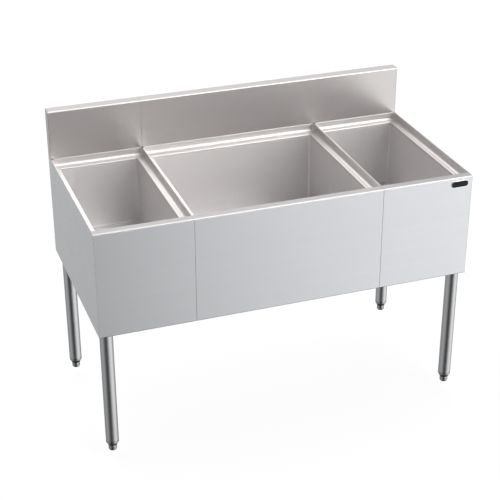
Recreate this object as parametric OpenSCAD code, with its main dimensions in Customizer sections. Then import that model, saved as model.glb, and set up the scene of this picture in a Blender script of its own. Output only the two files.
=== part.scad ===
// Free-standing three compartment basin unit in folded stainless sheet.
// Origin: centre of the footprint on the floor. +X right, +Y towards the wall, +Z up. Millimetres.

/* [Overall] */
// Width of the whole unit
unit_w = 1219.2; // [1100:0.1:1500]
// Depth from the front panel to the back of the backsplash
unit_d = 609.6; // [560:0.1:700]
// Height from the floor to the top of the backsplash
unit_h = 939.8; // [900:0.1:1000]
// Height from the floor to the top of the front rim
rim_h = 777.2; // [740:0.1:820]
// Height of the front and end panels
apron_h = 346.8; // [320:0.1:380]
// Width of each outer module
side_w = 304.8; // [280:0.1:340]

/* [Sheet] */
// Thickness of the outer sheet metal
sheet = 1.5; // [1.2:0.1:2]
// Thickness of the basin sheet metal
liner = 1.2; // [0.9:0.1:1.5]
// Outside radius of an ordinary bend
bend_r = 3; // [2.2:0.1:4]
// Clearance between sheets that touch
fit_gap = 0.1; // [0.1:0.05:0.2]
// Width of the open seam between the middle and right modules
open_seam = 1.6; // [1:0.1:2]
// Width of the seams between front panels
panel_seam = 0.9; // [0.6:0.1:1.5]

/* [Rim and decks] */
// Depth of the flat front rim
rim_d = 28; // [24:1:32]
// Thickness of the backsplash box
splash_t = 40.4; // [36:0.1:46]
// How far the decks sit below the rim
deck_drop = 27; // [24:0.5:30]
// Width of the deck on each side of a basin, from the module's edge
deck_side = 24.8; // [22:0.1:30]
// Depth of the deck behind an outer basin
deck_back = 17; // [15:0.5:30]
// Depth of the deck behind the middle basin
deck_back_mid = 23.5; // [15:0.5:30]
// Depth of the deck in front of a basin
deck_front = 25; // [22:1:30]

/* [Basins] */
// Depth of the outer basins below the rim
side_depth = 254; // [220:1:260]
// Depth of the middle basin below the rim
mid_depth = 305; // [260:1:308]
// Corner and floor radius of the outer basins
side_corner = 4.5; // [4:0.5:12]
// Corner and floor radius of the middle basin
mid_corner = 4.5; // [4:0.5:12]

/* [Legs] */
// Outside diameter of the leg tube
leg_od = 41.3; // [38:0.1:45]
// Wall of the leg tube
leg_wall = 1.5; // [1.2:0.1:2]
// Distance from the end panel's face to the leg's centre
leg_side = 28; // [27:0.5:34]
// Distance from the front panel's face to the front leg's centre
leg_front = 33; // [33:0.5:40]
// Distance from the front panel's face to the rear leg's centre
leg_rear = 546.1; // [500:0.1:550]
// Height of the tube's lower end above the floor
tube_lift = 40.6; // [38:0.1:46]
// Height of the foot's body
foot_h = 18.8; // [16:0.1:24]
// Height of the tapered shoulder above the foot's body
shoulder_h = 12; // [8:0.5:14]
// Diameter of the foot's body
foot_d = 26.8; // [24:0.1:30]
// Diameter of the foot's threaded stem
stem_d = 16; // [14:1:18]

/* [Drains] */
// Diameter of the drain flange
drain_flange_d = 72; // [66:1:80]
// Outside diameter of the drain outlet
outlet_d = 38.1; // [32:0.1:40]
// Length of the drain below the basin floor
drain_drop = 75; // [70:1:90]

/* [Badge] */
// Width of the blank badge plate
badge_w = 60; // [50:1:70]
// Height of the blank badge plate
badge_h = 23; // [18:1:26]
// Distance from the unit's right edge to the badge's centre
badge_in = 43.7; // [40:0.1:60]
// Distance from the rim to the badge's centre
badge_down = 23; // [20:0.5:40]

/* [Hidden] */
$fn = 64;
bend_steps = 6;

half_w = unit_w / 2;
half_d = unit_d / 2;
front_y = -half_d;
back_y = half_d;
mid_half = half_w - side_w;
deck_z = rim_h - deck_drop;
apron_z = rim_h - apron_h;
splash_y = back_y - splash_t;
rim_back_y = front_y + rim_d;
inner_half = half_w - sheet - fit_gap;
mid_right = mid_half - open_seam / 2;
nose_h = 4;
steel = [0.76, 0.77, 0.78];
liner_steel = [0.72, 0.71, 0.70];

// Bounds of the three decks: left edge, right edge
left_span = [-inner_half, -mid_half - fit_gap];
mid_span = [-mid_half + fit_gap, mid_right];
right_span = [mid_half + open_seam / 2, inner_half];

// Bounds of the three basin openings: left, right, front, back
deck_back_y = splash_y - fit_gap - sheet;
basin_front_y = rim_back_y + deck_front;
left_hole = [-half_w + deck_side, -mid_half - deck_side, basin_front_y, deck_back_y - deck_back];
mid_hole = [-mid_half + deck_side, mid_half - deck_side, basin_front_y, deck_back_y - deck_back_mid];
right_hole = [mid_half + deck_side, half_w - deck_side, basin_front_y, deck_back_y - deck_back];

side_floor_z = rim_h - side_depth;
mid_floor_z = rim_h - mid_depth;

// Legs: centre of each one, as left or right and front or rear
leg_x = half_w - leg_side;
leg_front_y = front_y + leg_front;
leg_rear_y = front_y + leg_rear;
corners = [[-1, leg_front_y], [1, leg_front_y], [-1, leg_rear_y], [1, leg_rear_y]];

channel_z = 504.2;
channel_t = 2;
channel_in = 73.6;
plate_t = 4;
socket_top_z = channel_z - fit_gap;
socket_low_z = apron_z + 4;
socket_od = 48;
bolt_r = 4;
bolt_hole_r = 4.3;
bolt_in = 33;
bolt_steps = [-16, 34];

drain_seat_r = 31.3;
drain_neck_r = 23.5;
neck_gap = 0.1;

// ---- sheet-metal helpers ----

function unit(v) = v / norm(v);
function left_of(v) = [-v[1], v[0]];
function turn(v, a) = [v[0] * cos(a) - v[1] * sin(a), v[0] * sin(a) + v[1] * cos(a)];
function reversed(p) = [for (i = [len(p) - 1:-1:0]) p[i]];

// Points of one bend at corner b of a skin line; r is the outside radius and off the distance into the metal
function bend_points(a, b, c, r, t, off) =
    let (d0 = unit(b - a))
    let (d1 = unit(c - b))
    let (s = sign(d0[0] * d1[1] - d0[1] * d1[0]))
    let (angle = acos(d0 * d1))
    let (skin_r = s > 0 ? r : r - t)
    let (centre = b - d0 * skin_r * tan(angle / 2) + left_of(d0) * s * skin_r)
    [for (k = [0:bend_steps])
        centre - s * (skin_r - s * off) * turn(left_of(d0), s * angle * k / bend_steps)];

// One face of a folded sheet: off = 0 is the skin line, off = t the other face, on the skin line's left
function fold_line(p, r, t, off) =
    let (last = len(p) - 1)
    concat(
        [p[0] + off * left_of(unit(p[1] - p[0]))],
        [for (i = [1:last - 1]) each bend_points(p[i - 1], p[i], p[i + 1], r, t, off)],
        [p[last] + off * left_of(unit(p[last] - p[last - 1]))]);

// Cross-section of a folded sheet
module folded(p, t = sheet, r = bend_r) {
    polygon(concat(fold_line(p, r, t, 0), reversed(fold_line(p, r, t, t))));
}

// Extrudes a Y-Z section along X, an X-Z section along Y
module along_x(x0, x1) {
    translate([x0, 0, 0]) rotate([90, 0, 90]) linear_extrude(x1 - x0) children();
}
module along_y(y0, y1) {
    translate([0, y1, 0]) rotate([90, 0, 0]) linear_extrude(y1 - y0) children();
}

// Box given by its lowest and highest corners
module block(lo, hi) {
    translate(lo) cube(hi - lo);
}

// Rectangle with round corners, as [left, right, front, back]
module rounded_rect(b, r) {
    translate([b[0] + r, b[2]]) square([b[1] - b[0] - 2 * r, b[3] - b[2]]);
    translate([b[0], b[2] + r]) square([b[1] - b[0], b[3] - b[2] - 2 * r]);
    for (x = [b[0] + r, b[1] - r], y = [b[2] + r, b[3] - r]) {
        translate([x, y]) circle(r);
    }
}

// Sweeps a section round a rectangle with corner radius r. The section's x runs outward from a corner's
// centre. Corner k follows side k; corners and sides are numbered anticlockwise from the back right.
module sweep(b, r, corner_list = [0, 1, 2, 3], side_list = [0, 1, 2, 3]) {
    xs = [b[1] - r, b[0] + r, b[0] + r, b[1] - r];
    ys = [b[3] - r, b[3] - r, b[2] + r, b[2] + r];
    runs = [b[1] - b[0] - 2 * r, b[3] - b[2] - 2 * r];
    for (k = corner_list) {
        translate([xs[k], ys[k], 0]) rotate([0, 0, 90 * k]) rotate_extrude(angle = 90) children();
    }
    for (k = side_list) {
        run = runs[k % 2];
        translate([xs[k], ys[k], 0]) rotate([90, 0, 90 * (k + 1)]) translate([0, 0, -run])
            linear_extrude(run) children();
    }
}

// ---- decks, rim and basins ----

lip_h = 8;
cove_r = 10;
deck_corner = 10.5;

// Recessed deck: flat ledge, coved upstands on three sides and a rounded lip down into the basin
module deck(span, hole, hole_r) {
    inner = [span[0] + sheet, span[1] - sheet, front_y + 5, deck_back_y];
    lip_box = [hole[0] - bend_r, hole[1] + bend_r, hole[2] - bend_r, hole[3] + bend_r];
    upstand_y = rim_back_y + fit_gap;
    upstand = [inner[0], inner[1], upstand_y - deck_corner, inner[3]];
    translate([0, 0, deck_z]) {
        sweep(hole, hole_r)
            folded([[hole_r + bend_r + 1, 0], [hole_r, 0], [hole_r, -lip_h]]);
        translate([0, 0, -sheet]) linear_extrude(sheet) difference() {
            union() {
                polygon([[inner[0] + deck_corner, inner[2]], [inner[1] - deck_corner, inner[2]],
                    [inner[1] - deck_corner, inner[3] - deck_corner],
                    [inner[0] + deck_corner, inner[3] - deck_corner]]);
                polygon([[span[0] + fit_gap, inner[2]], [span[1] - fit_gap, inner[2]],
                    [span[1] - fit_gap, upstand_y], [span[0] + fit_gap, upstand_y]]);
            }
            rounded_rect(lip_box, hole_r + bend_r);
        }
        sweep(upstand, deck_corner, [0, 1], [0, 1, 3])
            folded([[deck_corner, deck_drop], [deck_corner, 0], [0, 0]], sheet, cove_r + sheet);
    }
}

// Basin: coved walls and floor with a hole for the drain
module basin(hole, r, floor_z) {
    wall_h = deck_z - lip_h - fit_gap - floor_z;
    drain_xy = [(hole[0] + hole[1]) / 2, (hole[2] + hole[3]) / 2];
    difference() {
        translate([0, 0, floor_z]) {
            sweep(hole, r) folded([[r, wall_h], [r, 0], [0, 0]], liner, r - 0.5 + liner);
            block([hole[0] + r, hole[2] + r, -liner], [hole[1] - r, hole[3] - r, 0]);
        }
        translate([drain_xy[0], drain_xy[1], floor_z - 5]) cylinder(h = 10, r = drain_neck_r + 0.5);
    }
}

module left_deck() color(steel) deck(left_span, left_hole, side_corner);
module centre_deck() color(steel) deck(mid_span, mid_hole, mid_corner);
module right_deck() color(steel) deck(right_span, right_hole, side_corner);
module left_basin() color(liner_steel) basin(left_hole, side_corner, side_floor_z);
module centre_basin() color(liner_steel) basin(mid_hole, mid_corner, mid_floor_z);
module right_basin() color(liner_steel) basin(right_hole, side_corner, side_floor_z);

// Front rim: hem down to the deck, flat top and a small rounded nose
module front_rim(x0, x1) {
    along_x(x0, x1)
        folded([[rim_back_y, deck_z + fit_gap], [rim_back_y, rim_h], [front_y, rim_h],
            [front_y, rim_h - nose_h]]);
}
module front_rim_main() color(steel) front_rim(-inner_half, mid_half - panel_seam / 2);
module front_rim_right() color(steel) front_rim(mid_half + panel_seam / 2, inner_half);

// ---- backsplash ----

splash_low_z = rim_h - 20;
splash_flange_z = unit_h - 30;
module backsplash(x0, x1) {
    along_x(x0, x1)
        folded([[back_y, splash_flange_z], [back_y, unit_h], [splash_y, unit_h],
            [splash_y, splash_low_z]]);
}
module backsplash_left() color(steel) backsplash(-inner_half, -mid_half - 0.3);
module backsplash_main() color(steel) backsplash(-mid_half + 0.3, inner_half);

// End cap of the backsplash: a face with rounded top corners and a flange inside the box
module splash_cap() {
    low_z = rim_h + fit_gap;
    inside = sheet + fit_gap;
    flange_d = 10;
    along_x(half_w - sheet, half_w) union() {
        translate([splash_y, low_z]) square([splash_t, unit_h - bend_r - low_z]);
        translate([splash_y + bend_r, low_z]) square([splash_t - 2 * bend_r, unit_h - low_z]);
        translate([splash_y + bend_r, unit_h - bend_r]) circle(bend_r);
        translate([back_y - bend_r, unit_h - bend_r]) circle(bend_r);
    }
    along_x(half_w - sheet - flange_d, half_w - sheet) difference() {
        translate([splash_y + inside, low_z]) square([splash_t - 2 * inside, unit_h - 4 - low_z]);
        translate([splash_y + inside + sheet, low_z - 1])
            square([splash_t - 2 * inside - 2 * sheet, unit_h - 4 - sheet - low_z + 1]);
    }
}
module splash_cap_right() color(steel) splash_cap();
module splash_cap_left() color(steel) mirror([1, 0, 0]) splash_cap();

// ---- outer panels ----

// Front panel: flat sheet, bottom return, and a return at each side marked 1
module front_panel(x0, x1, left_return, right_return) {
    top_z = rim_h - nose_h - 0.05;
    return_top_z = deck_z - sheet - fit_gap;
    bottom_return = 10;
    side_return = 12;
    along_x(x0, x1)
        folded([[front_y, top_z], [front_y, apron_z], [front_y + bottom_return, apron_z]]);
    if (left_return) {
        block([x0, front_y + sheet, apron_z + bend_r], [x0 + liner, front_y + side_return, return_top_z]);
    }
    if (right_return) {
        block([x1 - liner, front_y + sheet, apron_z + bend_r], [x1, front_y + side_return, return_top_z]);
    }
}
module left_front_panel() color(steel)
    front_panel(-inner_half, -mid_half - panel_seam / 2, false, true);
module centre_front_panel() color(steel)
    front_panel(-mid_half + panel_seam / 2, mid_half - panel_seam / 2, true, true);
module right_front_panel() color(steel)
    front_panel(mid_half + panel_seam / 2, inner_half, true, false);

// End panel: flat sheet with a narrow bottom return and a rounded front top corner
module end_panel() {
    bottom_return = 6;
    along_x(half_w - sheet, half_w) union() {
        translate([front_y, apron_z]) square([unit_d, rim_h - bend_r - apron_z]);
        translate([front_y + bend_r, apron_z]) square([unit_d - bend_r, rim_h - apron_z]);
        translate([front_y + bend_r, rim_h - bend_r]) circle(bend_r);
    }
    block([half_w - bottom_return, leg_front_y - 8, apron_z], [half_w - sheet, leg_rear_y, apron_z + sheet]);
}
module right_end_panel() color(steel) end_panel();
module left_end_panel() color(steel) mirror([1, 0, 0]) end_panel();

// Rear panel: closes the back up to the backsplash's rear flange
module rear_panel(x0, x1) {
    bottom_return = 10;
    along_x(x0, x1)
        folded([[back_y - bottom_return, apron_z], [back_y, apron_z], [back_y, splash_flange_z - 0.3]]);
}
module rear_panel_left() color(steel) rear_panel(-inner_half, -mid_half - 0.3);
module rear_panel_main() color(steel) rear_panel(-mid_half + 0.3, inner_half);

// Blank badge: a dark plate with rounded ends inside a thin bright bezel, on the right front panel
badge_x = half_w - badge_in;
badge_z = rim_h - badge_down;
badge_proud = 1.2;
bezel_w = 1.2;
module badge_outline(inset) {
    r = badge_h * 0.48 - inset;
    w = badge_w / 2 - inset;
    h = badge_h / 2 - inset;
    rounded_rect([-w, w, -h, h], r);
}
module on_front(y0, y1) {
    translate([badge_x, y1, badge_z]) rotate([90, 0, 0]) linear_extrude(y1 - y0) children();
}
module badge_plate() color([0.06, 0.06, 0.07])
    on_front(front_y - badge_proud + 0.3, front_y - 0.05) badge_outline(bezel_w + 0.05);
module badge_bezel() color([0.8, 0.81, 0.82])
    on_front(front_y - badge_proud, front_y - 0.05) difference() {
        badge_outline(0);
        badge_outline(bezel_w);
    }

// ---- inside: partitions, jacket and insulation ----

panel_joint_y = [-220, 200];
panel_joint_z = [480, 680];
joint_hole_r = 4.3;

// Partition on the inner side of the left module, its outer face at x, with a flange under the deck
module partition(x) {
    flange_w = 14;
    top_z = deck_z - sheet - fit_gap;
    difference() {
        along_y(front_y + 14, back_y - 3)
            folded([[x, apron_z + 3], [x, top_z], [x - flange_w, top_z]]);
        for (y = panel_joint_y, z = panel_joint_z) {
            translate([x - 10, y, z]) rotate([0, 90, 0]) cylinder(h = 20, r = joint_hole_r);
        }
    }
}
partition_left_x = mid_half + fit_gap + 0.2;
partition_right_x = mid_half + open_seam / 2 + 0.2;
module left_partition() color(steel) partition(-partition_left_x);
module right_partition() color(steel) mirror([1, 0, 0]) partition(-partition_right_x);

// Outer jacket of the middle basin: left, right, front, back, and its height
jacket_half = mid_right - 0.6;
jacket = [-jacket_half, jacket_half, front_y + 15, splash_y - 6];
jacket_low_z = apron_z + 9.4;
jacket_top_z = deck_z - sheet - 0.7;
mid_drain_y = (mid_hole[2] + mid_hole[3]) / 2;

module bin_jacket() color(steel) difference() {
    block([jacket[0], jacket[2], jacket_low_z], [jacket[1], jacket[3], jacket_top_z]);
    block([jacket[0] + liner, jacket[2] + liner, jacket_low_z + liner],
        [jacket[1] - liner, jacket[3] - liner, jacket_top_z + 1]);
    translate([0, mid_drain_y, jacket_low_z - 1]) cylinder(h = liner + 2, r = drain_neck_r + 2);
}

// Foam between the jacket and the middle basin, with a pocket for the drain
module bin_insulation() color([0.93, 0.86, 0.62]) difference() {
    skin = liner + 0.2;
    lip_space = sheet + 1;
    block([jacket[0] + skin, jacket[2] + skin, jacket_low_z + skin],
        [jacket[1] - skin, jacket[3] - skin, jacket_top_z - 0.2]);
    block([mid_hole[0] - lip_space, mid_hole[2] - lip_space, mid_floor_z - liner - 0.2],
        [mid_hole[1] + lip_space, mid_hole[3] + lip_space, jacket_top_z + 1]);
    translate([0, mid_drain_y, jacket_low_z - 1]) cylinder(h = 60, r = drain_flange_d / 2 + 2);
}

// Studs on the jacket's sides and the nuts that hold the outer modules to them
stud_len = 16;
nut_r = 7.5;
nut_h = 6.5;
module stud_places(side) {
    for (y = panel_joint_y, z = panel_joint_z) {
        translate([side * (jacket_half + 0.05), y, z]) rotate([0, side * 90, 0]) children();
    }
}
module joining_studs() color(steel) for (side = [-1, 1]) {
    stud_places(side) union() {
        cylinder(h = 1, r = 6);
        cylinder(h = stud_len, r = bolt_r);
    }
}
module joining_nuts() color([0.62, 0.62, 0.64]) {
    left_start = partition_left_x + sheet + 0.1 - jacket_half;
    right_start = partition_right_x + sheet + 0.1 - jacket_half;
    stud_places(-1) translate([0, 0, left_start]) hex_nut();
    stud_places(1) translate([0, 0, right_start]) hex_nut();
}
module hex_nut() {
    difference() {
        cylinder(h = nut_h, r = nut_r, $fn = 6);
        translate([0, 0, -1]) cylinder(h = nut_h + 2, r = bolt_r + 0.05);
    }
}

// ---- leg channels, ties and sockets ----

channel_out = half_w - sheet - 0.2;
channel_inner = channel_out - channel_in;
bolt_x = leg_x - bolt_in;

// Bolt centres of every socket: the pair runs from each leg towards the middle of the depth
bolt_places = [for (c = corners, step = bolt_steps) [c[0] * bolt_x, c[1] - sign(c[1]) * step]];

// U-channel from front to back that carries two legs, under the basin's outer edge
module leg_channel() {
    outer_top = channel_z + 41;
    inner_top = side_floor_z - liner - 0.3;
    difference() {
        along_y(front_y + 5, back_y - 5)
            folded([[-channel_out, outer_top], [-channel_out, channel_z],
                [-channel_inner, channel_z], [-channel_inner, inner_top]], channel_t, 4);
        for (p = bolt_places) {
            translate([p[0], p[1], channel_z - 5]) cylinder(h = 15, r = bolt_hole_r);
        }
    }
}
module left_leg_channel() color(steel) leg_channel();
module right_leg_channel() color(steel) mirror([1, 0, 0]) leg_channel();

// Two angle ties between a leg channel and its partition, under the basin floor
module cross_ties(inner_end) {
    top_z = side_floor_z - liner - 0.4;
    leg = 26;
    for (y = [basin_front_y + 10, left_hole[3] - 10 - leg]) {
        along_x(-channel_inner + 0.2, -inner_end)
            folded([[y + leg, top_z], [y, top_z], [y, top_z - leg]], channel_t, 4);
    }
}
module left_cross_ties() color(steel) cross_ties(partition_left_x + sheet + 0.2);
module right_cross_ties() color(steel) mirror([1, 0, 0]) cross_ties(partition_right_x + sheet + 0.2);

// Leg socket: a cup for the tube, a bolted plate and one fin. Drawn for a front left leg at the origin.
screw_z = socket_low_z + 22;
module socket() {
    plate_low = socket_top_z - plate_t;
    plate_x = [-(half_w - leg_x - 4), bolt_in + 10];
    plate_y = [-26, 46];
    fin_t = 3;
    difference() {
        union() {
            translate([0, 0, socket_low_z]) cylinder(h = plate_low - socket_low_z, r = socket_od / 2);
            block([plate_x[0], plate_y[0], plate_low], [plate_x[1], plate_y[1], socket_top_z]);
            along_x(-fin_t / 2, fin_t / 2)
                polygon([[socket_od / 2 - 1, socket_low_z + 14], [socket_od / 2 + 2, socket_low_z + 14],
                    [plate_y[1] - 3, plate_low], [socket_od / 2 - 1, plate_low]]);
        }
        translate([0, 0, socket_low_z - 1])
            cylinder(h = plate_low - socket_low_z + 1, r = leg_od / 2 + fit_gap);
        translate([0, 0, screw_z]) rotate([0, 90, 0]) cylinder(h = socket_od, r = bolt_r + 0.05);
        for (step = bolt_steps) {
            translate([bolt_in, step, plate_low - 1]) cylinder(h = plate_t + 2, r = bolt_hole_r);
        }
    }
}
module at_corner(i) {
    c = corners[i];
    translate([c[0] * leg_x, c[1], 0]) mirror([c[0] > 0 ? 1 : 0, 0, 0])
        mirror([0, c[1] > 0 ? 1 : 0, 0]) children();
}
module leg_socket_front_left() color(steel) at_corner(0) socket();
module leg_socket_front_right() color(steel) at_corner(1) socket();
module leg_socket_rear_left() color(steel) at_corner(2) socket();
module leg_socket_rear_right() color(steel) at_corner(3) socket();

// Hexagon bolts up through each socket plate and channel web, with nuts above the web
module socket_bolts() color([0.62, 0.62, 0.64]) for (p = bolt_places) {
    head_h = 5.3;
    shank_top = channel_z + channel_t + nut_h + 2;
    translate([p[0], p[1], socket_top_z - plate_t - fit_gap - head_h]) union() {
        cylinder(h = head_h, r = nut_r, $fn = 6);
        cylinder(h = shank_top - socket_top_z + plate_t + fit_gap + head_h, r = bolt_r);
    }
}
module socket_nuts() color([0.62, 0.62, 0.64]) for (p = bolt_places) {
    translate([p[0], p[1], channel_z + channel_t + fit_gap]) hex_nut();
}

// Set screws that hold each tube in its socket
module leg_set_screws() color([0.35, 0.35, 0.37]) for (i = [0:3]) {
    start = leg_od / 2 + 0.05;
    len = socket_od / 2 + 2 - start;
    at_corner(i) translate([start, 0, screw_z]) rotate([0, 90, 0]) difference() {
        cylinder(h = len, r = bolt_r);
        translate([0, 0, len - 3]) cylinder(h = 4, r = 2.3, $fn = 6);
    }
}

// ---- legs and feet ----

module leg_tube() {
    top_z = socket_top_z - plate_t - 0.5;
    translate([0, 0, tube_lift]) difference() {
        cylinder(h = top_z - tube_lift, r = leg_od / 2);
        translate([0, 0, -1]) cylinder(h = top_z - tube_lift + 2, r = leg_od / 2 - leg_wall);
    }
}
module leg_tube_front_left() color([0.6, 0.61, 0.62]) at_corner(0) leg_tube();
module leg_tube_front_right() color([0.6, 0.61, 0.62]) at_corner(1) leg_tube();
module leg_tube_rear_left() color([0.6, 0.61, 0.62]) at_corner(2) leg_tube();
module leg_tube_rear_right() color([0.6, 0.61, 0.62]) at_corner(3) leg_tube();

foot_r = foot_d / 2;
stem_r = stem_d / 2;

// Insert in the tube's end: a spigot inside, a collar outside and a tapered shoulder, bored for the stem
module foot_insert() {
    low_z = foot_h + 0.2;
    taper_z = low_z + shoulder_h;
    collar_r = leg_od / 2 - 0.2;
    spigot_r = leg_od / 2 - leg_wall - fit_gap;
    spigot_z = tube_lift + 36;
    bore_r = stem_r + 0.05;
    edge = 0.8;
    rotate_extrude()
        polygon([[bore_r, low_z], [foot_r + 0.2, low_z], [foot_r + 1.4, low_z + 1.2],
            [collar_r - 1.6, taper_z - 2], [collar_r, taper_z], [collar_r, tube_lift - fit_gap],
            [spigot_r, tube_lift - fit_gap], [spigot_r, spigot_z - edge], [spigot_r - edge, spigot_z],
            [bore_r, spigot_z]]);
}
module foot_insert_front_left() color([0.55, 0.56, 0.57]) at_corner(0) foot_insert();
module foot_insert_front_right() color([0.55, 0.56, 0.57]) at_corner(1) foot_insert();
module foot_insert_rear_left() color([0.55, 0.56, 0.57]) at_corner(2) foot_insert();
module foot_insert_rear_right() color([0.55, 0.56, 0.57]) at_corner(3) foot_insert();

// Bullet foot: rounded body with a flat underside, and a stem whose lower part carries thread rings
module bullet_foot() {
    flat_r = 8.5;
    round_h = 6;
    neck_h = 1.2;
    pitch = 2;
    rings = 14;
    thread_d = 0.9;
    stem_z = foot_h + neck_h;
    stem_top = 102;
    round_arc = [for (k = [0:bend_steps]) let (a = 90 * k / bend_steps)
        [flat_r + (foot_r - flat_r) * sin(a), round_h * (1 - cos(a))]];
    thread = [for (k = [0:rings - 1]) each [
        [stem_r, stem_z + k * pitch + 0.4],
        [stem_r - thread_d, stem_z + (k + 0.5) * pitch + 0.2],
        [stem_r, stem_z + (k + 1) * pitch]]];
    rotate_extrude()
        polygon(concat([[0, 0]], round_arc, [[foot_r, foot_h - 1], [foot_r - 1, foot_h],
            [stem_r, foot_h]], thread, [[stem_r, stem_top - 1.5], [stem_r - 1.5, stem_top], [0, stem_top]]));
}
module bullet_foot_front_left() color([0.5, 0.51, 0.52]) at_corner(0) bullet_foot();
module bullet_foot_front_right() color([0.5, 0.51, 0.52]) at_corner(1) bullet_foot();
module bullet_foot_rear_left() color([0.5, 0.51, 0.52]) at_corner(2) bullet_foot();
module bullet_foot_rear_right() color([0.5, 0.51, 0.52]) at_corner(3) bullet_foot();

// ---- drains ----

side_x = mid_half + side_w / 2;
side_drain_y = (left_hole[2] + left_hole[3]) / 2;
drains = [[-side_x, side_drain_y, side_floor_z], [0, mid_drain_y, mid_floor_z],
    [side_x, side_drain_y, side_floor_z]];
throat_r = 20.5;
flange_top = 2.2;
seat_h = 0.6;
nut_low = -13.5;

// Drain body: flange on the basin floor, threaded neck through it and a plain outlet below
module drain_body() {
    flange_r = drain_flange_d / 2;
    neck_low = -33;
    outlet_r = outlet_d / 2;
    outlet_in = outlet_r - 2;
    rotate_extrude()
        polygon([[flange_r, neck_gap], [flange_r, 0.9], [flange_r - 3, flange_top],
            [drain_seat_r, flange_top], [drain_seat_r, seat_h], [throat_r, seat_h],
            [throat_r, neck_low + 2], [outlet_in, neck_low - 1.5], [outlet_in, -drain_drop],
            [outlet_r, -drain_drop], [outlet_r, neck_low - 2.5], [drain_neck_r, neck_low],
            [drain_neck_r, neck_gap]]);
}
module left_drain() color([0.7, 0.71, 0.72]) translate(drains[0]) drain_body();
module centre_drain() color([0.7, 0.71, 0.72]) translate(drains[1]) drain_body();
module right_drain() color([0.7, 0.71, 0.72]) translate(drains[2]) drain_body();

// Rubber gaskets under the basin floors
module drain_gaskets() color([0.12, 0.12, 0.12]) for (d = drains) {
    gasket_h = 3;
    translate([d[0], d[1], d[2] - liner - fit_gap - gasket_h]) difference() {
        cylinder(h = gasket_h, r = drain_flange_d / 2 - 2);
        translate([0, 0, -1]) cylinder(h = gasket_h + 2, r = drain_neck_r + neck_gap);
    }
}

// Eight-sided locknuts under the gaskets
module drain_locknuts() color([0.66, 0.66, 0.68]) for (d = drains) {
    locknut_h = 8;
    translate([d[0], d[1], d[2] + nut_low]) difference() {
        cylinder(h = locknut_h, r = drain_flange_d / 2 - 1, $fn = 8);
        translate([0, 0, -1]) cylinder(h = locknut_h + 2, r = drain_neck_r + 0.05);
    }
}

// Lift-out strainer: perforated disc on the flange's seat, a locating ring below and a small knob
module strainer() {
    disc_low = seat_h + 0.1;
    disc_t = 1.2;
    disc_r = drain_seat_r - 0.4;
    ring_r = throat_r - 0.7;
    knob_r = 5;
    knob_h = 13;
    hole_r = 2.2;
    rings = [[6, 9.5], [12, 16]];
    difference() {
        rotate_extrude()
            polygon([[0, disc_low], [ring_r - 1.2, disc_low], [ring_r - 1.2, disc_low - 4],
                [ring_r, disc_low - 4], [ring_r, disc_low], [disc_r - 0.4, disc_low],
                [disc_r, disc_low + 0.4], [disc_r, disc_low + disc_t - 0.4],
                [disc_r - 0.4, disc_low + disc_t], [3, disc_low + disc_t], [3, knob_h - 5],
                [knob_r, knob_h - 4], [knob_r, knob_h - 1.5], [knob_r - 1.5, knob_h], [0, knob_h]]);
        for (ring = rings, k = [0:ring[0] - 1]) {
            rotate([0, 0, 360 * k / ring[0]]) translate([ring[1], 0, -1])
                cylinder(h = disc_low + disc_t + 2, r = hole_r, $fn = 24);
        }
    }
}
module left_strainer() color([0.8, 0.81, 0.82]) translate(drains[0]) strainer();
module centre_strainer() color([0.8, 0.81, 0.82]) translate(drains[1]) strainer();
module right_strainer() color([0.8, 0.81, 0.82]) translate(drains[2]) strainer();

backsplash_left();
backsplash_main();
splash_cap_left();
splash_cap_right();
front_rim_main();
front_rim_right();
left_deck();
centre_deck();
right_deck();
left_basin();
centre_basin();
right_basin();
left_front_panel();
centre_front_panel();
right_front_panel();
left_end_panel();
right_end_panel();
rear_panel_left();
rear_panel_main();
left_partition();
right_partition();
bin_jacket();
bin_insulation();
badge_plate();
badge_bezel();
left_leg_channel();
right_leg_channel();
left_cross_ties();
right_cross_ties();
leg_socket_front_left();
leg_socket_front_right();
leg_socket_rear_left();
leg_socket_rear_right();
leg_tube_front_left();
leg_tube_front_right();
leg_tube_rear_left();
leg_tube_rear_right();
foot_insert_front_left();
foot_insert_front_right();
foot_insert_rear_left();
foot_insert_rear_right();
bullet_foot_front_left();
bullet_foot_front_right();
bullet_foot_rear_left();
bullet_foot_rear_right();
socket_bolts();
socket_nuts();
leg_set_screws();
joining_studs();
joining_nuts();
left_drain();
centre_drain();
right_drain();
drain_gaskets();
drain_locknuts();
left_strainer();
centre_strainer();
right_strainer();
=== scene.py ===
"""Looks for a three compartment underbar sink: finishes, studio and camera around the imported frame."""

import math

import bmesh
import bpy
from mathutils import Matrix, Vector, noise
from mathutils.bvhtree import BVHTree


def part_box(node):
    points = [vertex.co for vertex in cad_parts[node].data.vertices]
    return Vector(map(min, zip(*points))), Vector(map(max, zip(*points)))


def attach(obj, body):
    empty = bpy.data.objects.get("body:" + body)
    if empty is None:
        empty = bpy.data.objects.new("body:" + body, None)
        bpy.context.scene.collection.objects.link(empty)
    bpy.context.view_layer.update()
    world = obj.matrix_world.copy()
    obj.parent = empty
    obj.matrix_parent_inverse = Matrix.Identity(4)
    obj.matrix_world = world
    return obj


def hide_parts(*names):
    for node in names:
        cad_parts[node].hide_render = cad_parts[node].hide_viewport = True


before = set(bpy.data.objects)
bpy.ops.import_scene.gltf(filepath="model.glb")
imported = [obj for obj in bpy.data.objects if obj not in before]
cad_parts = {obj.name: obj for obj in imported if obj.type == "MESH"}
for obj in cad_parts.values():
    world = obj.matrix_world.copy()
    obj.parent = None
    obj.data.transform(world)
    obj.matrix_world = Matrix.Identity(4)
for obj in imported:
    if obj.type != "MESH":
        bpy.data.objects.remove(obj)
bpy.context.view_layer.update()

# Camera: the angle, lens and distance of the reference view, in degrees, millimetres and metres.
VIEW_AZIMUTH = 19.637
VIEW_ELEVATION = 27.635
VIEW_ROLL = -0.086
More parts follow.
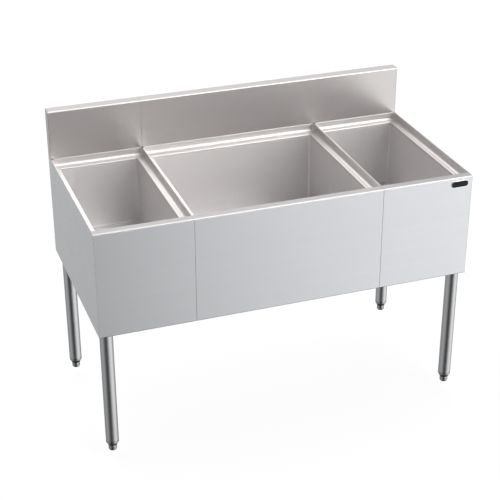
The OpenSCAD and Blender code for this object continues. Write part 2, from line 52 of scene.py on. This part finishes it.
VIEW_DISTANCE = 4.302
VIEW_AIM = (-0.0209, 0.0078, 0.4709)
LENS_MM = 93.86
SENSOR_MM = 36.0

# Studio sizes in metres. The floor lies just below the feet at their lowest.
FLOOR_SIDE = 24.0
FLOOR_LEVEL = -0.026

# Brushed grain: how many marks a metre along the brushing and across it, and how deep they are in metres.
GRAIN_ALONG = 2.5
GRAIN_ACROSS = 900.0
GRAIN_DEPTH = 0.00002

# Edges: how far the rounding and the lightening of a sheet and of a small part reach, in metres, and the light
# colour they take. The lightening is partly wear on outer edges and partly a painted highlight along every edge
# and inner corner.
SHEET_EDGE = 0.0008
SMALL_EDGE = 0.0005
SHEET_WEAR_AND_HIGHLIGHT = 0.3
SMALL_WEAR_AND_HIGHLIGHT = 0.35
EDGE_WEAR_AND_HIGHLIGHT_STEEL = (0.93, 0.93, 0.93, 1.0)
BEVEL_SAMPLES = 6

# Heat tints on a weld.
STRAW_HEAT = (0.56, 0.46, 0.32, 1.0)
BLUE_HEAT = (0.30, 0.33, 0.45, 1.0)


# ---------------------------------------------------------------- node helpers
def add(tree, kind, inputs=None, **settings):
    """Adds one shader node. A socket among the inputs is linked, and any other value is set."""
    node = tree.nodes.new("ShaderNode" + kind)
    for key, value in settings.items():
        setattr(node, key, value)
    for key, value in (inputs or {}).items():
        if isinstance(value, bpy.types.NodeSocket):
            tree.links.new(value, node.inputs[key])
        else:
            node.inputs[key].default_value = value
    return node


def noise_value(tree, where, scale, detail=2.0, roughness=0.5):
    inputs = {"Vector": where, "Scale": scale, "Detail": detail, "Roughness": roughness}
    return add(tree, "TexNoise", inputs).outputs["Fac"]


def remap(tree, value, low, high, to_low, to_high):
    """Eases a value from one range into another and holds it at both ends."""
    inputs = {0: value, 1: low, 2: high, 3: to_low, 4: to_high}
    return add(tree, "MapRange", inputs, interpolation_type="SMOOTHSTEP").outputs[0]


def maths(tree, operation, first, second):
    return add(tree, "Math", {0: first, 1: second}, operation=operation).outputs[0]


def plus(tree, first, second):
    return maths(tree, "ADD", first, second)


def times(tree, first, second):
    return maths(tree, "MULTIPLY", first, second)


def average(tree, first, second):
    return plus(tree, times(tree, first, 0.5), times(tree, second, 0.5))


def stretched(tree, where, scale):
    """A position with each axis scaled by its own factor."""
    return add(tree, "VectorMath", {0: where, 1: scale}, operation="MULTIPLY").outputs[0]


def blend_colour(tree, share, first, second):
    node = add(tree, "Mix", data_type="RGBA")
    for socket, value in ((node.inputs[0], share), (node.inputs[6], first), (node.inputs[7], second)):
        if isinstance(value, bpy.types.NodeSocket):
            tree.links.new(value, socket)
        else:
            socket.default_value = value
    return node.outputs[2]


def new_material(name):
    material = bpy.data.materials.new(name)
    material.use_nodes = True
    material.node_tree.nodes.clear()
    return material, material.node_tree


def finish_material(tree, values):
    shader = add(tree, "BsdfPrincipled", values)
    add(tree, "OutputMaterial", {"Surface": shader.outputs[0]})


def dimmed(colour, share):
    return tuple(channel * share for channel in colour)


def scaled(colour, share):
    """The colour times the share, with the full alpha that a colour socket wants."""
    return dimmed(colour, share) + (1.0,)


def edge_share(tree, radius):
    """0 on flat metal and 1 where two faces meet within the radius."""
    bevel = add(tree, "Bevel", {"Radius": radius}, samples=BEVEL_SAMPLES).outputs[0]
    true_normal = add(tree, "NewGeometry").outputs["True Normal"]
    match = add(tree, "VectorMath", {0: bevel, 1: true_normal}, operation="DOT_PRODUCT").outputs["Value"]
    return remap(tree, match, 0.995, 0.86, 0.0, 1.0)


GRAIN_SCALES = {
    "x": (GRAIN_ALONG, GRAIN_ACROSS, GRAIN_ACROSS),
    "y": (GRAIN_ACROSS, GRAIN_ALONG, GRAIN_ACROSS),
    "around": (12.0, 12.0, 500.0),
}
GRAIN_TANGENTS = {"x": (1.0, 0.0, 0.0), "y": (0.0, 1.0, 0.0)}


def brushed_steel(name, tint, rough, grain, cloud=0.02, metal=1.0):
    """Stainless steel: fine brushing along an axis, cloudy tone, faint smudges, and edges and inner corners
    lightened, partly as wear and partly as a painted highlight.
    """
    material, tree = new_material(name)
    where = add(tree, "TexCoord").outputs["Object"]
    along = stretched(tree, where, GRAIN_SCALES[grain])
    lines = noise_value(tree, along, 1.0, 3.0, 0.7)
    broad_lines = noise_value(tree, along, 0.06, 2.0, 0.6)
    tone = noise_value(tree, where, 3.5, 2.0, 0.5)
    smudge = noise_value(tree, where, 17.0, 4.0, 0.62)
    edge = edge_share(tree, SHEET_EDGE)

    shade = remap(tree, average(tree, lines, broad_lines), 0.3, 0.7, 0.0, 1.0)
    base = blend_colour(tree, shade, scaled(tint, 1.0 - cloud), scaled(tint, 1.0 + 0.6 * cloud))
    base = blend_colour(tree, remap(tree, tone, 0.3, 0.7, 0.0, 0.5), base, scaled(tint, 1.0 - 1.4 * cloud))
    # Painted highlight, partly wear: the colour turns lighter wherever faces meet, on outer edges and in inner
    # corners alike.
    base = blend_colour(tree, times(tree, edge, SHEET_WEAR_AND_HIGHLIGHT), base, EDGE_WEAR_AND_HIGHLIGHT_STEEL)

    gloss = plus(tree, times(tree, smudge, 0.06), rough - 0.03)
    gloss = plus(tree, gloss, remap(tree, lines, 0.3, 0.7, -0.02, 0.02))
    gloss = maths(tree, "SUBTRACT", gloss, times(tree, edge, 0.06))

    soft_normal = add(tree, "Bevel", {"Radius": SHEET_EDGE}, samples=BEVEL_SAMPLES).outputs[0]
    grooves = {"Strength": 0.04, "Distance": GRAIN_DEPTH, "Height": lines, "Normal": soft_normal}
    bump = add(tree, "Bump", grooves)
    values = {"Base Color": base, "Metallic": metal, "Roughness": gloss, "Normal": bump.outputs[0]}
    if grain in GRAIN_TANGENTS:
        tangent = add(tree, "CombineXYZ", dict(enumerate(GRAIN_TANGENTS[grain]))).outputs[0]
        values.update({"Anisotropic": 0.35, "Tangent": tangent})
    finish_material(tree, values)
    return material


def dull_material(name, tint, rough, metallic, speckle, bump_depth, spread=0.25, shine=0.5):
    """Rubber, foam, plated or blackened parts: speckled tone over a fine uneven surface."""
    material, tree = new_material(name)
    where = add(tree, "TexCoord").outputs["Object"]
    grains = noise_value(tree, where, speckle, 4.0, 0.6)
    patches = noise_value(tree, where, speckle * 0.04, 2.0, 0.5)
    edge = edge_share(tree, SMALL_EDGE)
    share = remap(tree, average(tree, grains, patches), 0.35, 0.65, 0.0, 1.0)
    base = blend_colour(tree, share, scaled(tint, 1.0 - spread), scaled(tint, 1.0 + spread))
    # Painted highlight, partly wear: the colour turns lighter wherever faces meet, on outer edges and in inner
    # corners alike.
    base = blend_colour(tree, times(tree, edge, SMALL_WEAR_AND_HIGHLIGHT), base, scaled(tint, 1.6))
    gloss = remap(tree, grains, 0.3, 0.7, max(0.05, rough - 0.08), min(1.0, rough + 0.08))
    bump = add(tree, "Bump", {"Strength": 0.5, "Distance": bump_depth, "Height": grains})
    values = {"Base Color": base, "Metallic": metallic, "Roughness": gloss, "Normal": bump.outputs[0]}
    values["Specular IOR Level"] = shine
    finish_material(tree, values)
    return material


def weld_material(name, tint):
    """Cleaned weld: silver metal with straw and blue heat tints in slow patches, rough on a fine scale."""
    material, tree = new_material(name)
    where = add(tree, "TexCoord").outputs["Object"]
    heat = noise_value(tree, where, 90.0, 3.0, 0.55)
    grains = noise_value(tree, where, 1600.0, 3.0, 0.6)
    straw_share = remap(tree, heat, 0.35, 0.62, 0.0, 0.8)
    blue_share = remap(tree, heat, 0.55, 0.75, 0.0, 0.7)
    base = blend_colour(tree, straw_share, scaled(tint, 1.0), STRAW_HEAT)
    base = blend_colour(tree, blue_share, base, BLUE_HEAT)
    gloss = remap(tree, grains, 0.3, 0.7, 0.30, 0.48)
    bump = add(tree, "Bump", {"Strength": 0.4, "Distance": 0.00004, "Height": grains})
    values = {"Base Color": base, "Metallic": 1.0, "Roughness": gloss, "Normal": bump.outputs[0]}
    finish_material(tree, values)
    return material


# ---------------------------------------------------------------- finishes by part
# Painted light in these tints: the one stainless steel is given lighter and darker copies by part to stand in
# for how light falls on it. The rim is darkest for its shaded top, the splash and the end panels are darker,
# the deck is kept light for its bright ledges, and the legs and feet are darker. STEEL's blue tint paints the
# cool reflection on the outer panels, and the warm tint of WARM_STEEL and of the basins paints the warm
# reflection inside.
STEEL = (0.71, 0.725, 0.747)
WARM_STEEL = (0.775, 0.75, 0.74)

FINISHES = {
    "panel_x": brushed_steel("panel_steel_long", STEEL, 0.30, "x"),
    "panel_y": brushed_steel("panel_steel_end", dimmed(STEEL, 0.88), 0.26, "y"),
    "rim": brushed_steel("rim_steel_long", dimmed(WARM_STEEL, 0.68), 0.31, "x"),
    "splash": brushed_steel("splash_steel_long", dimmed(WARM_STEEL, 0.84), 0.34, "x"),
    "deck": brushed_steel("deck_steel_satin", dimmed(WARM_STEEL, 0.96), 0.48, "y"),
    "basin": brushed_steel("basin_steel_satin", (0.825, 0.805, 0.805), 0.41, "y", metal=0.80),
    "frame": brushed_steel("frame_steel_mill", (0.62, 0.63, 0.64), 0.42, "y", cloud=0.09),
    "leg": brushed_steel("leg_steel_tube", (0.50, 0.51, 0.52), 0.37, "around"),
    "foot": brushed_steel("foot_steel_turned", (0.36, 0.37, 0.375), 0.34, "around"),
    "drain": brushed_steel("drain_polished", (0.80, 0.80, 0.80), 0.20, "around", cloud=0.04),
    "zinc": dull_material("zinc_plate", (0.55, 0.57, 0.60), 0.38, 1.0, 900.0, 0.00003),
    "black": dull_material("black_oxide", (0.045, 0.045, 0.05), 0.45, 0.6, 1100.0, 0.00003),
    "rubber": dull_material("rubber_grey", (0.05, 0.05, 0.05), 0.75, 0.0, 1500.0, 0.00005),
    "foam": dull_material("foam_cream", (0.72, 0.62, 0.40), 0.90, 0.0, 420.0, 0.0006, 0.12),
    "weld": weld_material("weld_bead", (0.50, 0.50, 0.51)),
    "badge": dull_material("badge_black_gloss", (0.010, 0.010, 0.012), 0.40, 0.0, 800.0, 0.00001, 0.2, 0.15),
    "bezel": brushed_steel("badge_bezel_bright", (0.85, 0.85, 0.85), 0.18, "x", cloud=0.02),
}

# The finish of each part, by the start of its name. The first match counts.
FINISH_BY_NAME = (
    ("backsplash", "splash"),
    ("splash_cap", "rim"),
    ("front_rim", "rim"),
    ("left_deck", "deck"),
    ("centre_deck", "deck"),
    ("right_deck", "deck"),
    ("left_basin", "basin"),
    ("centre_basin", "basin"),
    ("right_basin", "basin"),
    ("left_end_panel", "panel_y"),
    ("right_end_panel", "panel_y"),
    ("left_front_panel", "panel_x"),
    ("centre_front_panel", "panel_x"),
    ("right_front_panel", "panel_x"),
    ("rear_panel", "panel_x"),
    ("left_partition", "frame"),
    ("right_partition", "frame"),
    ("bin_jacket", "frame"),
    ("bin_insulation", "foam"),
    ("badge_plate", "badge"),
    ("badge_bezel", "bezel"),
    ("left_leg_channel", "frame"),
    ("right_leg_channel", "frame"),
    ("left_cross_ties", "frame"),
    ("right_cross_ties", "frame"),
    ("leg_socket", "frame"),
    ("leg_tube", "leg"),
    ("leg_set_screws", "black"),
    ("foot_insert", "foot"),
    ("bullet_foot", "foot"),
    ("socket_", "zinc"),
    ("joining_", "zinc"),
    ("drain_gaskets", "rubber"),
    ("drain_locknuts", "drain"),
    ("left_drain", "drain"),
    ("centre_drain", "drain"),
    ("right_drain", "drain"),
    ("left_strainer", "drain"),
    ("centre_strainer", "drain"),
    ("right_strainer", "drain"),
)


def paint_frame():
    for name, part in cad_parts.items():
        finish = next(finish for start, finish in FINISH_BY_NAME if name.startswith(start))
        part.data.materials.clear()
        part.data.materials.append(FINISHES[finish])


# ---------------------------------------------------------------- poured foam
# In metres: the remesh's cell, how far the skin is drawn in and swells, and how far it stays off the basin.
FOAM_VOXEL = 0.006
FOAM_INSET = 0.0011
FOAM_SWELL = 0.0008
FOAM_BASIN_GAP = 0.0065


def final_mesh(piece):
    """Applies the piece's modifiers and gives it the finished mesh."""
    evaluated = piece.evaluated_get(bpy.context.evaluated_depsgraph_get())
    mesh = bpy.data.meshes.new_from_object(evaluated)
    piece.modifiers.clear()
    piece.data = mesh


def keep_off_basin(mesh, solid):
    """Moves the skin away from the basin it surrounds, so that no face cuts across a corner of the sheet."""
    low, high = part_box("centre_basin")
    centre = (low + high) / 2
    for vertex in mesh.vertices:
        nearest, normal, _, _ = solid.find_nearest(vertex.co)
        if (centre - nearest).dot(normal) > 0.0:
            height = (vertex.co - nearest).dot(normal)
            vertex.co -= normal * max(0.0, height + FOAM_BASIN_GAP)


def build_foam():
    """Poured insulation round the middle basin: soft edges and a slightly lumpy, cellular skin."""
    cad_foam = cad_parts["bin_insulation"]
    mesh = cad_foam.data.copy()
    mesh.materials.clear()
    foam = bpy.data.objects.new("poured_foam", mesh)
    bpy.context.scene.collection.objects.link(foam)
    remesh = foam.modifiers.new("cells", "REMESH")
    remesh.mode = "VOXEL"
    remesh.voxel_size = FOAM_VOXEL
    smooth = foam.modifiers.new("soften", "SMOOTH")
    smooth.factor = 0.5
    smooth.iterations = 3
    final_mesh(foam)
    normals = [vertex.normal.copy() for vertex in foam.data.vertices]
    for vertex, normal in zip(foam.data.vertices, normals):
        lump = 0.7 * noise.noise(vertex.co * 22.0) + 0.3 * noise.noise(vertex.co * 95.0)
        vertex.co += normal * (FOAM_SWELL * lump - FOAM_INSET)
    corners = [vertex.co for vertex in cad_foam.data.vertices]
    solid = BVHTree.FromPolygons(corners, [face.vertices for face in cad_foam.data.polygons])
    keep_off_basin(foam.data, solid)
    foam.data.materials.append(FINISHES["foam"])
    foam.data.shade_smooth()
    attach(foam, "frame")
    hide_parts("bin_insulation")


# ---------------------------------------------------------------- weld beads
# Sizes in metres. The tie sizes are those of the angle ties' section.
BEAD_RADIUS = 0.0024
RIPPLE_LENGTH = 0.0032
BEAD_SIDES = 10
BEAD_STEP = 0.0004
SOCKET_BEAD_RADIUS = 0.0246
PLATE_GAP = 0.0005
TIE_LEG = 0.026
TIE_THICKNESS = 0.002
TIE_BEND = 0.005


def bead_mesh(name, path, upright, closed):
    """A rippled weld bead: rings along the path that swell and sink once per ripple."""
    vertices, faces = [], []
    count = len(path)
    travelled = 0.0
    for i, point in enumerate(path):
        before = path[i - 1] if closed or i > 0 else point
        after = path[(i + 1) % count] if closed or i < count - 1 else point
        along = (after - before).normalized()
        side = along.cross(upright).normalized()
        out = side.cross(along).normalized()
        phase = (travelled / RIPPLE_LENGTH) % 1.0
        swell = 0.78 + 0.22 * math.sin(math.pi * phase) + 0.05 * noise.noise(point * 400.0)
        if not closed:
            swell *= min(1.0, 0.35 + 0.22 * min(i, count - 1 - i))
        for k in range(BEAD_SIDES):
            angle = math.tau * k / BEAD_SIDES
            vertices.append(point + (side * math.cos(angle) + out * math.sin(angle)) * BEAD_RADIUS * swell)
        travelled += (after - before).length / 2
    for i in range(count if closed else count - 1):
        for k in range(BEAD_SIDES):
            here, there = i * BEAD_SIDES, ((i + 1) % count) * BEAD_SIDES
            turned = (k + 1) % BEAD_SIDES
            faces.append((here + k, there + k, there + turned, here + turned))
    if not closed:
        last = (count - 1) * BEAD_SIDES
        faces.append(tuple(range(BEAD_SIDES)))
        faces.append(tuple(last + k for k in reversed(range(BEAD_SIDES))))
    mesh = bpy.data.meshes.new(name)
    mesh.from_pydata(vertices, [], faces)
    return mesh


def fix_winding(mesh):
    """Turns every face outwards."""
    shape = bmesh.new()
    shape.from_mesh(mesh)
    bmesh.ops.recalc_face_normals(shape, faces=shape.faces)
    shape.to_mesh(mesh)
    shape.free()


def add_bead(name, path, upright, closed=False):
    mesh = bead_mesh(name, path, upright, closed)
    fix_winding(mesh)
    bead = bpy.data.objects.new(name, mesh)
    bpy.context.scene.collection.objects.link(bead)
    mesh.materials.append(FINISHES["weld"])
    mesh.shade_smooth()
    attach(bead, "frame")


def line_path(start, end):
    count = max(4, round((end - start).length / BEAD_STEP))
    return [start.lerp(end, k / count) for k in range(count + 1)]


def ring_path(centre, radius):
    count = round(math.tau * radius / BEAD_STEP)
    turns = [math.tau * k / count for k in range(count)]
    return [centre + Vector((math.cos(turn), math.sin(turn), 0.0)) * radius for turn in turns]


def weld_sockets():
    """A fillet round each cup where it meets its plate, sunk a little into the corner."""
    sunk = 0.0006
    for corner in ("front_left", "front_right", "rear_left", "rear_right"):
        low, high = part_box("leg_tube_" + corner)
        middle = (low + high) / 2
        centre = Vector((middle.x, middle.y, high.z + PLATE_GAP - sunk))
        path = ring_path(centre, SOCKET_BEAD_RADIUS)
        add_bead("weld_socket_" + corner, path, Vector((0.0, 0.0, 1.0)), True)


def weld_ties():
    """A short upright bead at both ends of every angle tie."""
    lift = 0.002
    for hand in ("left", "right"):
        low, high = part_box(hand + "_cross_ties")
        for row, y in (("front", low.y), ("rear", high.y - TIE_LEG)):
            for end, x in (("outer", low.x), ("inner", high.x)):
                foot = Vector((x, y + TIE_THICKNESS, low.z + lift))
                top = Vector((x, y + TIE_THICKNESS, high.z - TIE_BEND))
                name = "_".join(("weld_tie", hand, row, end))
                add_bead(name, line_path(foot, top), Vector((0.0, 1.0, 0.0)))


# ---------------------------------------------------------------- studio
FRONT = Vector((0.0, -1.0, 0.0))
BACK = Vector((0.0, 1.0, 0.0))
LEFT = Vector((-1.0, 0.0, 0.0))
RIGHT = Vector((1.0, 0.0, 0.0))
UP = Vector((0.0, 0.0, 1.0))
KEY_REACH = math.radians(35.0)
CARD_REACH = math.radians(45.0)
FILL_REACH = math.radians(60.0)
KEY_LIGHT = 5.0
OVERHEAD = 2.5
FRONT_CARD = 1.2
END_CARD = 0.25
LEDGE_CARD = 0.4
SIDE_FILL = 0.8
REAR_FILL = 0.4
STUDIO_GREY = 0.05


def mirrored_by(facing):
    """The direction whose light a flat sheet facing this way mirrors to the camera."""
    turn, rise = math.radians(VIEW_AZIMUTH), math.radians(VIEW_ELEVATION)
    level = math.cos(rise)
    to_camera = Vector((-math.sin(turn) * level, -math.cos(turn) * level, math.sin(rise)))
    return 2.0 * to_camera.dot(facing) * facing - to_camera


def softbox(tree, direction, aim, reach, strength):
    """A soft patch of light, brightest where it is aimed and gone past its reach."""
    towards = add(tree, "VectorMath", {0: direction, 1: aim.normalized()}, operation="DOT_PRODUCT")
    return remap(tree, towards.outputs["Value"], math.cos(reach), 1.0, 0.0, strength)


def studio_light(tree, direction):
    """The key is in front and low, because the rims mirror what is above it, and the overhead box leans to the
    back. A card stands where each way of facing is mirrored to the camera, the front one further right, so that
    the panels brighten to the right. Fills light the other sides."""
    boxes = (
        softbox(tree, direction, FRONT + 0.6 * RIGHT + 0.5 * UP, KEY_REACH, KEY_LIGHT),
        softbox(tree, direction, UP + 0.4 * BACK, CARD_REACH, OVERHEAD),
        softbox(tree, direction, mirrored_by(FRONT) + 0.6 * RIGHT, CARD_REACH, FRONT_CARD),
        softbox(tree, direction, mirrored_by(LEFT), CARD_REACH, END_CARD),
        softbox(tree, direction, mirrored_by(UP), CARD_REACH, LEDGE_CARD),
        softbox(tree, direction, RIGHT, FILL_REACH, SIDE_FILL),
        softbox(tree, direction, LEFT, FILL_REACH, SIDE_FILL),
        softbox(tree, direction, BACK, FILL_REACH, REAR_FILL),
    )
    total = STUDIO_GREY
    for box in boxes:
        total = plus(tree, box, total)
    return total


def build_world():
    world = bpy.data.worlds.new("studio")
    bpy.context.scene.world = world
    world.use_nodes = True
    tree = world.node_tree
    tree.nodes.clear()
    direction = add(tree, "TexCoord").outputs["Generated"]
    strength = studio_light(tree, direction)
    light = add(tree, "Background", {"Color": (1.0, 1.0, 1.0, 1.0), "Strength": strength})
    backdrop = add(tree, "Background", {"Color": (1.0, 1.0, 1.0, 1.0), "Strength": 1.0})
    camera_ray = add(tree, "LightPath").outputs["Is Camera Ray"]
    mixed = add(tree, "MixShader", {0: camera_ray, 1: light.outputs[0], 2: backdrop.outputs[0]})
    add(tree, "OutputWorld", {"Surface": mixed.outputs[0]})


def floor_material():
    """Matt white paint that glows a little, so that shadows on it stay faint."""
    material, tree = new_material("floor_paint")
    where = add(tree, "TexCoord").outputs["Object"]
    mottle = noise_value(tree, where, 1.2, 3.0, 0.5)
    share = remap(tree, mottle, 0.3, 0.7, 0.0, 1.0)
    tone = blend_colour(tree, share, (0.93, 0.93, 0.93, 1.0), (0.96, 0.96, 0.96, 1.0))
    paint = add(tree, "BsdfDiffuse", {"Color": tone})
    glow = add(tree, "Emission", {"Color": (1.0, 1.0, 1.0, 1.0), "Strength": 1.02})
    mixed = add(tree, "MixShader", {0: 0.88, 1: paint.outputs[0], 2: glow.outputs[0]})
    add(tree, "OutputMaterial", {"Surface": mixed.outputs[0]})
    return material


def build_floor():
    half = FLOOR_SIDE / 2
    mesh = bpy.data.meshes.new("studio_floor")
    corners = [(-half, -half, 0.0), (half, -half, 0.0), (half, half, 0.0), (-half, half, 0.0)]
    mesh.from_pydata(corners, [], [(0, 1, 2, 3)])
    floor = bpy.data.objects.new("studio_floor", mesh)
    floor.location.z = FLOOR_LEVEL
    floor.data.materials.append(floor_material())
    floor.visible_glossy = False
    bpy.context.scene.collection.objects.link(floor)


def build_camera():
    data = bpy.data.cameras.new("view_camera")
    data.lens = LENS_MM
    data.sensor_width = SENSOR_MM
    camera = bpy.data.objects.new("view_camera", data)
    bpy.context.scene.collection.objects.link(camera)
    turn = Matrix.Rotation(math.radians(-VIEW_AZIMUTH), 4, "Z")
    tilt = Matrix.Rotation(math.radians(90.0 - VIEW_ELEVATION), 4, "X")
    roll = Matrix.Rotation(math.radians(VIEW_ROLL), 4, "Z")
    pose = turn @ tilt @ roll
    back_off = pose @ Vector((0.0, 0.0, VIEW_DISTANCE))
    camera.matrix_world = Matrix.Translation(Vector(VIEW_AIM) + back_off) @ pose
    bpy.context.scene.camera = camera


paint_frame()
build_foam()
weld_sockets()
weld_ties()
build_world()
build_floor()
build_camera()
bpy.context.scene.view_settings.view_transform = "Standard"
